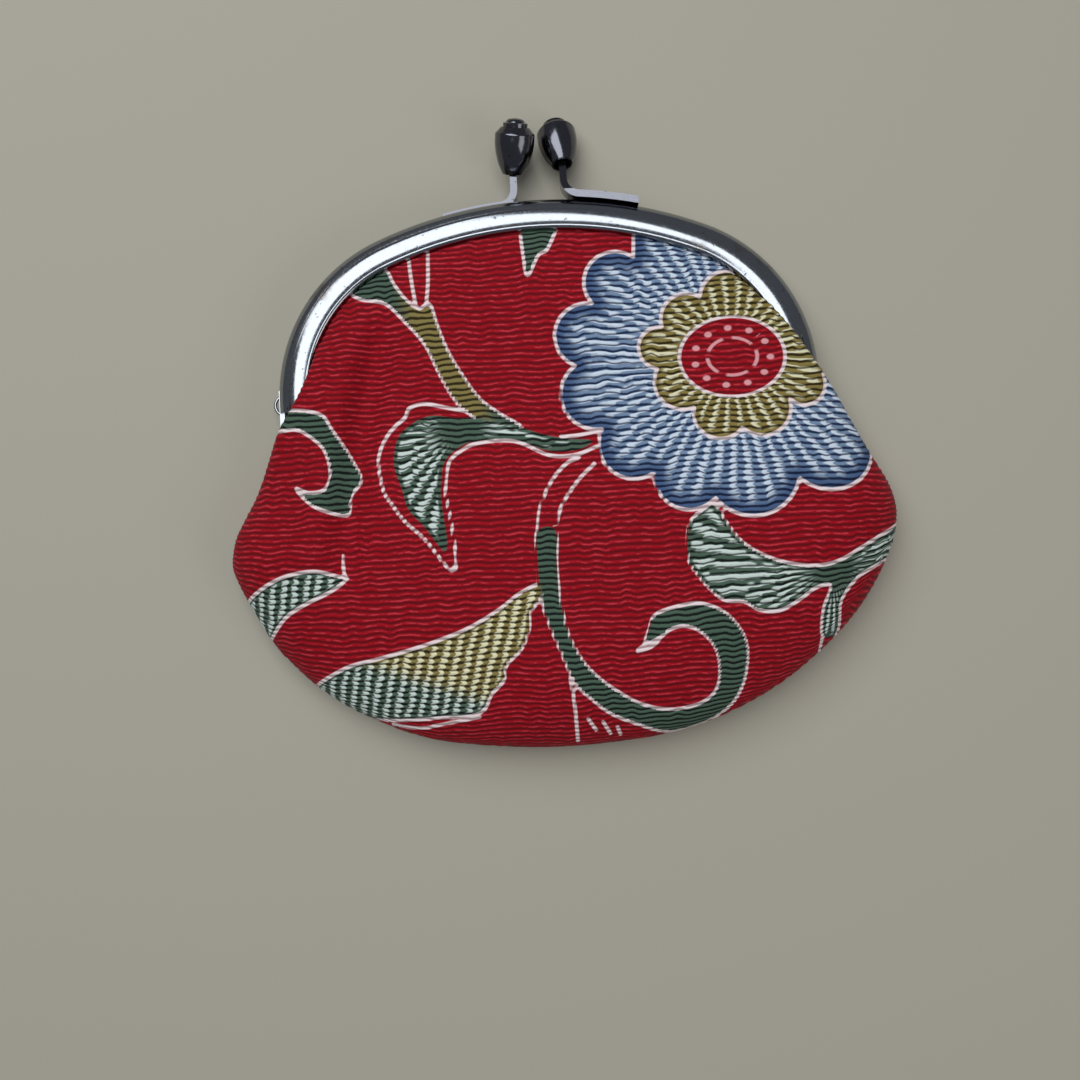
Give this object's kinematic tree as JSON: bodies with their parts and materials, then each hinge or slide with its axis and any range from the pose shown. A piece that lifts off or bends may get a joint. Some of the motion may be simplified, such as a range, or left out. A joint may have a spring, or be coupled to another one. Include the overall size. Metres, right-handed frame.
{
  "type": "coin purse",
  "caption": "Small crepe coin purse on a riveted kiss-lock frame, lying on its back; the front half of the frame opens about the side rivets.",
  "frame": {"origin": "middle of the bounding box's underside, on the surface the purse lies on", "axes": "+Z out of the printed front, +Y from the pouch to the clasp, +X right; the hinge axis runs along X through both rivets"},
  "size_m": [0.1052, 0.1005, 0.0145],
  "materials": {
    "black_nickel": "polished black nickel plate on steel, finely pitted, a little tarnished",
    "crepe": "printed crepe with close sideways ripples",
    "interfacing": "thin bonded stiffener",
    "lining": "plain woven cotton",
    "paper_cord": "twisted kraft paper",
    "thread": "spun sewing thread"
  },
  "bodies": {
    "back_half": {"back_frame": "black_nickel", "left_hinge_rivet": "black_nickel", "right_hinge_rivet": "black_nickel", "back_clasp_stem": "black_nickel", "back_clasp_knob": "black_nickel", "back_knob_cap": "black_nickel", "strap_eye": "black_nickel", "outer_front_panel_lower": "crepe", "outer_back_panel": "crepe", "front_interfacing_lower": "interfacing", "back_interfacing": "interfacing", "front_lining_lower": "lining", "back_lining": "lining", "back_paper_cord": "paper_cord", "side_seam_thread": "thread"},
    "front_half": {"front_frame": "black_nickel", "front_clasp_stem": "black_nickel", "front_clasp_knob": "black_nickel", "front_knob_cap": "black_nickel", "front_paper_cord": "paper_cord", "outer_front_panel_upper": "crepe", "front_interfacing_upper": "interfacing", "front_lining_upper": "lining"}
  },
  "joints": [
    {"name": "frame_hinge", "type": "hinge", "parent": "back_half", "child": "front_half", "pos_m": [0, 0.00103, 0.005], "axis": [1, 0, 0], "range_deg": [0, 90]}
  ]
}
